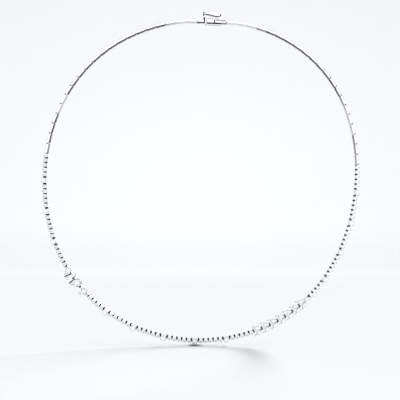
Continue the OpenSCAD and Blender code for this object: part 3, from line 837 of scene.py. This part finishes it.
# Clasp, in its own frame with x = 0 at its middle
clasp = {
    "boxX": (-1.95, 3.95), "step": 1.3, "boxY": (-0.85, 1.65), "narrow": 0.85,
    "front": 0.15, "depth": 3.0, "mouthY": (-0.3, 1.1), "mouthZ": (-2.5, -0.5),
    "groove": (1.05, 1.5), "grooveDepth": 0.3, "edge": 0.09, "neckX": -3.2, "darkTo": -0.65,
    "paleTo": -2.35, "faceFrom": -0.47, "frame": (-1.6, 0.5, 1.4), "frameLine": 0.24,
    "topLine": (1.75, 0.36), "corner": 0.12, "flankY": -0.45, "flankZ": (-1.3, -0.3),
    "neck": (0.5, -0.45), "shoulder": (-3.4, 0.7),  # half its width, its top; its corner
    "shadowedY": (-0.8, 1.55), "underZ": (-0.9, 0.1),
    "spring": (0.45, 0.12), "springLeaf": (1.06, -2.2, -1.95),  # half width, thick; far end, levels
    "fold": ((1.0, -2.45), (-2.05, 0.9)),  # first and change, of x and of z
    "pressX": (-2.73, -2.14), "pressY": (-1.35, 1.85), "pressZ": (-2.5, 0.2),
    "hinge": (3.65, 3.0), "barrel": 1.0, "ear": 0.7, "earThick": 0.35, "earGap": 0.1,
    "catchZ": (-1.7, -0.6), "catchPin": 0.38, "catchEnd": (-2.75, 3.45), "catchEndRadius": 0.55,
    "rib": 0.29, "ribsY": (3.1, 3.98),
    "leverLine": ((-3.05, 2.95), (-1.0, 2.68), (1.0, 2.24), (1.7, 2.08), (3.9, 2.02)),
    "edgeShade": (0.13, 0.6),  # the painted shade line's two sides, above the lever's lower edge
}


def arc(middle, radius, start, end, count):
    angle = np.radians(np.linspace(start, end, count))
    return np.add(middle, radius * np.stack([np.cos(angle), np.sin(angle)], -1))


def claspBoxParts():
    (x0, x1), (y0, y1), step, narrow = (clasp[key] for key in ("boxX", "boxY", "step", "narrow"))
    front, edge, corner = clasp["front"], clasp["edge"], clasp["corner"]
    back, ledge = front - clasp["depth"], front - clasp["grooveDepth"]
    (mouthLow, mouthHigh), (mouthBack, mouthFront) = clasp["mouthY"], clasp["mouthZ"]
    faceFrom, (grooveFrom, grooveTo) = clasp["faceFrom"], clasp["groove"]
    sides = [[x0, y0], [x1, y0], [x1, narrow], [step, narrow], [step, y1], [x0, y1]]
    walls = sides + [[x0, mouthHigh], [step, mouthHigh], [step, mouthLow], [x0, mouthLow]]
    whole = rounded(sides, corner, 2)
    leftFace = rounded([[x0, faceFrom], [grooveFrom, faceFrom], [grooveFrom, narrow],
                        [step, narrow], [step, y1], [x0, y1]], corner, 2)
    rightFace = rounded(rectangle(grooveTo, x1, faceFrom, narrow), corner, 2)
    # painted shade: walls facing the inside of the loop are black near the mouth's front and back
    # and pale between, backs are grey, and the layer behind the faces is black where the groove
    # shows it
    parts = [darkened(part, 1.0, 0.3) for part in (
        slab(leftFace, ledge, front, 0, edge), slab(rightFace, ledge, front, 0, edge),
        slab(whole, mouthFront, ledge), slab(walls, clasp["darkTo"], mouthFront),
        slab(walls, mouthBack, clasp["paleTo"]), slab(whole, back, mouthBack, edge, 0))]
    parts[2]["shade"][:] = 1.0
    parts.append(darkened(slab(walls, clasp["paleTo"], clasp["darkTo"]), 0.05, 0.05))
    # dark lines let into the face: a frame on the wide part, and painted shade along the narrow
    # part's top edge that goes on over the end link
    left, right, top = clasp["frame"]
    wide, (topFrom, topWide) = clasp["frameLine"], clasp["topLine"]
    endX, half = links["claspHalf"] - link["gap"] / 2, link["barWidth"] / 2
    parts += [mark(rectangle(*box), level, tone) for box, level, tone in (
        ((left, right, top - wide, top), front, 0.8),
        ((left, left + wide, top - 2 * wide, top - wide), front, 0.9),
        ((right - wide, right, 0.0, top - wide), front, 0.3),
        ((topFrom, x1 - 0.08, narrow - topWide, narrow), front, 1.0),
        ((x1 + 0.02, endX - 0.3, half - topWide, half - 0.02), 0.0, 1.0))]
    # end link, with painted shade: a dark line along its inner edge and a black slab in its slot
    endLink = slab(rounded(rectangle(x1 - into, endX, -half, half), link["edge"], 2),
                   link["back"], 0.0, link["edge"], link["edge"])
    parts += [
        darkened(endLink),
        mark(rectangle(x1 - 0.06, endX - 0.04, -half + 0.04, link["lineTo"]), 0.0, 0.6),
        slab(rectangle(endX - 0.1, endX + 0.12, -half + 0.1, half - 0.15), *link["slot"],
             shade=1.0),
        eyeTab(endX, links["claspHalf"] + links["pinInset"])]
    # two ears with the hinge pin of the safety catch through them
    (hingeX, _), ear, thick, pin = (clasp[key] for key in ("hinge", "ear", "earThick", "catchPin"))
    low, high = clasp["catchZ"][0] - clasp["earGap"], clasp["catchZ"][1] + clasp["earGap"]
    lug = np.concatenate([arc(clasp["hinge"], ear, 0, 180, 17),
                          [[hingeX - ear, narrow - into], [hingeX + ear, narrow - into]]])
    parts += [slab(lug, foot, foot + thick, 0.05, 0.05) for foot in (low - thick, high)]
    # painted shade: a dark line across the upper ear, level with the lever's edge line
    lineFrom, lineTo = clasp["leverLine"][-1][1] + np.array(clasp["edgeShade"])
    parts.append(mark(rectangle(hingeX - ear, hingeX + 0.1, lineFrom, lineTo), high + thick, 0.8))
    head = high + thick + 0.1
    pinShape = turnedShape([[0.02, low - thick], [pin, low - thick], [pin, head - 0.05],
                            [pin * 0.75, head], [0.02, head]], 20, shade=1.0)
    return parts + [moved(pinShape, (*clasp["hinge"], 0))]


def claspTongueParts():
    start, neckX = links["pinInset"] - links["claspHalf"], clasp["neckX"]
    (pressLeft, pressRight), (pressLow, pressTop) = clasp["pressX"], clasp["pressY"]
    fork = moved(darkened(forkedBar(link["barWidth"], 0.0, neckX - start, (link["lineTo"],)), 0.5,
                          lineTo=link["lineTo"]), (start, 0, 0))
    # painted shade: the neck, the flank and shoulder beside the press plate, the slab before the
    # box and the strip under the plate are dark, standing in for shade round the press plate
    neckHalf, neckTop = clasp["neck"]
    neck = slab(rectangle(neckX - into, pressLeft + into, -neckHalf, neckHalf), link["back"],
                neckTop, shade=1.0)
    flankTo, (shoulderX, shoulderY) = pressLeft + 0.05, clasp["shoulder"]
    flank = slab(rounded(rectangle(neckX + 0.02, flankTo, clasp["flankY"], pressTop), 0.08, 2),
                 *clasp["flankZ"], 0.05, 0.05, shade=1.0)
    shoulder = slab(rectangle(shoulderX, flankTo, shoulderY, pressTop - 0.05), *clasp["flankZ"],
                    shade=1.0)
    shadowed = slab(rectangle(pressRight - 0.05, clasp["boxX"][0] - 0.01, *clasp["shadowedY"]),
                    clasp["flankZ"][0], -0.5, shade=0.75)
    press = slab(rounded(rectangle(pressLeft, pressRight, pressLow, pressTop), clasp["corner"], 3),
                 *clasp["pressZ"], 0.1, 0.1, 3)
    under = slab(rectangle(pressLeft + 0.1, pressRight - 0.1, pressLow - link["proud"],
                           pressLow + 0.1), *clasp["underZ"], shade=1.0)
    middle, (half, thick) = sum(clasp["mouthY"]) / 2, clasp["spring"]
    leafTo, *leafZ = clasp["springLeaf"]
    leaf = slab(rectangle(pressRight - into, leafTo, middle - half, middle + half), *leafZ,
                0.05, 0.05, 1)
    # the folded half of the spring rises from the far end back towards the press plate:
    # x and z = first + change * t, with a section of four corners
    t = np.linspace(0, 1, 6)[:, None]
    x, z = (first + change * t for first, change in clasp["fold"])
    y = middle + half * np.array([1, -1, -1, 1])
    folded = gridShape(np.stack(np.broadcast_arrays(x, y, z + [0, 0, thick, thick]), -1))
    return [fork, neck, flank, shoulder, shadowed, press, under, leaf, folded]


def safetyCatchParts():
    low, high = clasp["catchZ"]
    end, radius, rib = clasp["catchEnd"], clasp["catchEndRadius"], clasp["rib"]
    lever = slab(np.concatenate([arc(clasp["hinge"], clasp["barrel"], -90, 88, 22),
                                 arc(end, radius, 92, 268, 18), clasp["leverLine"][1:-1]]),
                 low, high, 0.09, 0.09, 3)
    nib = slab(rectangle(end[0] - 0.3, end[0] + 0.25, clasp["pressY"][1] + 0.15, end[1]),
               low + 0.01, high - 0.01, 0.05, 0.05)
    ribShape = turnedShape([[0.05, low - 0.1], [rib - 0.07, low - 0.1], [rib, low - 0.04],
                            [rib, high + 0.04], [rib - 0.07, high + 0.1], [0.05, high + 0.1]], 18,
                           shade=1.0)
    ribs = [moved(ribShape, (end[0] - radius - 0.05, y, 0)) for y in clasp["ribsY"]]
    # painted shade: a dark line along the lever's lower edge
    lower, upper = (np.add(clasp["leverLine"], (0, far)) for far in clasp["edgeShade"])
    return [darkened(lever, 0.3), darkened(nib, 1.0),
            mark(np.concatenate([lower, upper[::-1]]), high)] + ribs


for name, parts, node, body in (
        ("claspBox", claspBoxParts(), "clasp_housing", "necklace"),
        ("claspTongue", claspTongueParts(), "clasp_tongue", "necklace"),
        ("safetyLever", safetyCatchParts(), "safety_catch", "safety_catch")):
    makePiece(name, [copiesAt(joined(parts), claspOrigin, placeAxes(claspWay))], [node], body)
print("clasp made")

# Studio: a pale floor that sweeps up far behind, soft lights and the camera
studio = {
    "floor": (0.528, 0.531, 0.538, 1), "wall": (0.845, 0.848, 0.855, 1),
    "world": (0.985, 0.99, 1.0, 1), "worldStrength": 1.15,
    "cameraAt": (-4.83, -501.3, -73.93), "pictureWidth": 168.0,
    "sweep": (900.0, 400.0, 3000.0),  # distance of the wall, radius of the bend, reach
    "bend": (0.495, 0.695),  # where the floor's colour goes over into the wall's
    # painted pools of light on floor and wall, and a painted contact shadow under the lowest stone
    "lightPools": (((-0.005, -0.1, -0.135), 0.12, 0.05), ((-0.005, 0.7, -0.07), 0.4, 0.23)),
    "contactShadow": ((-0.0071, -0.0018, -0.13485), (1.0, 0.7, 1.0), 0.0047, 0.97),
    "dark": (0.02, 0.02, 0.022, 1), "cloud": 3.0,
}
# a tall strip light, low, behind and to the right, as three distant lamps one over the other
key = {"towards": ((1.15, 1.9, 1.0), (1.15, 2.8, 1.0), (1.15, 4.2, 1.0)), "angle": 9.0,
       "strength": 0.76}


def paleFloor(tree):
    # faint slow variation, as paper has, and painted pools of light that make the middle of floor
    # and wall a little paler; the lowest stone stands in a small painted contact shadow
    cloud = objectNoise(tree, studio["cloud"])
    where = newNode(tree, "TexCoord")[3]
    behind = newNode(tree, "SeparateXYZ", {"Vector": where})[1]
    paler = smoothRise(tree, behind, *studio["bend"]) + 0.02 * cloud
    for middle, reach, gain in studio["lightPools"]:
        away = vectorMath(tree, "DISTANCE", where, middle)
        paler = paler + gain * (1 - smoothRise(tree, away, 0.0, reach))
    colour = colourMix(tree, paler, studio["floor"], studio["wall"], False)
    middle, squeeze, reach, depth = studio["contactShadow"]
    apart = vectorMath(tree, "MULTIPLY", vectorMath(tree, "SUBTRACT", where, middle), squeeze)
    near = depth * (1 - smoothRise(tree, vectorMath(tree, "LENGTH", apart), 0.0, reach))
    colour = colourMix(tree, near, colour, studio["dark"])
    return newNode(tree, "BsdfPrincipled", {
        "Base Color": colour, "Roughness": 1.0, "Specular IOR Level": 0.0})[0]


def makeFloor(lowest):
    # a flat stretch, a quarter circle and a wall, carried from side to side
    bend = np.linspace(0, np.pi / 2, 24)
    far, radius, reach = studio["sweep"]
    y = np.concatenate([[-reach], far - radius + radius * np.sin(bend), [far]])
    z = lowest + np.concatenate([[0], radius - radius * np.cos(bend), [reach]])
    x = np.linspace(-reach, reach, 9)
    grid = np.stack(np.broadcast_arrays(x[None], y[:, None], z[:, None]), -1)
    index = np.arange(grid.shape[0] * grid.shape[1]).reshape(grid.shape[:2])
    quads = np.stack([index[:-1, :-1], index[:-1, 1:], index[1:, 1:], index[1:, :-1]], -1)
    mesh = bpy.data.meshes.new("floor")
    mesh.from_pydata((grid.reshape(-1, 3) * mm).tolist(), [], quads.reshape(-1, 4).tolist())
    mesh.polygons.foreach_set("use_smooth", np.ones(len(mesh.polygons), bool))
    mesh.materials.append(newFinish("paleFloor", paleFloor))
    floor = addObject("floor", mesh)
    floor.visible_shadow = False  # the key light comes from behind the sweep


def makeKey():
    # strength grows with the length of the direction, so each lamp lights the floor alike
    for number, towards in enumerate(key["towards"], 1):
        data = bpy.data.lights.new(f"key{number}", "SUN")
        data.angle = float(np.radians(key["angle"]))
        data.energy = key["strength"] * Vector(towards).length
        lamp = addObject(f"key{number}", data)
        lamp.rotation_euler = Vector(towards).to_track_quat("Z", "Y").to_euler()


def makeCamera():
    # the picture's width is what the lens takes in at the distance of the faces
    data = bpy.data.cameras.new("camera")
    distance = faceY - studio["cameraAt"][1]
    data.sensor_width = 36.0
    data.lens = data.sensor_width * distance / studio["pictureWidth"]
    data.clip_start, data.clip_end = 0.01, 20.0
    camera = addObject("camera", data)
    camera.location = Vector(studio["cameraAt"]) * mm
    camera.rotation_euler = (np.pi / 2, 0, 0)
    bpy.context.scene.camera = camera


world = bpy.data.worlds.new("studio")
bpy.context.scene.world = world
world.use_nodes = True
backdrop = world.node_tree.nodes["Background"].inputs
backdrop["Color"].default_value = studio["world"]
backdrop["Strength"].default_value = studio["worldStrength"]
bpy.context.scene.view_settings.view_transform = "Standard"
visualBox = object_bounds()
makeFloor(visualBox[0].z / mm)
makeKey()
makeCamera()
print("studio made; visual box", [round(v / mm, 2) for corner in visualBox for v in corner])
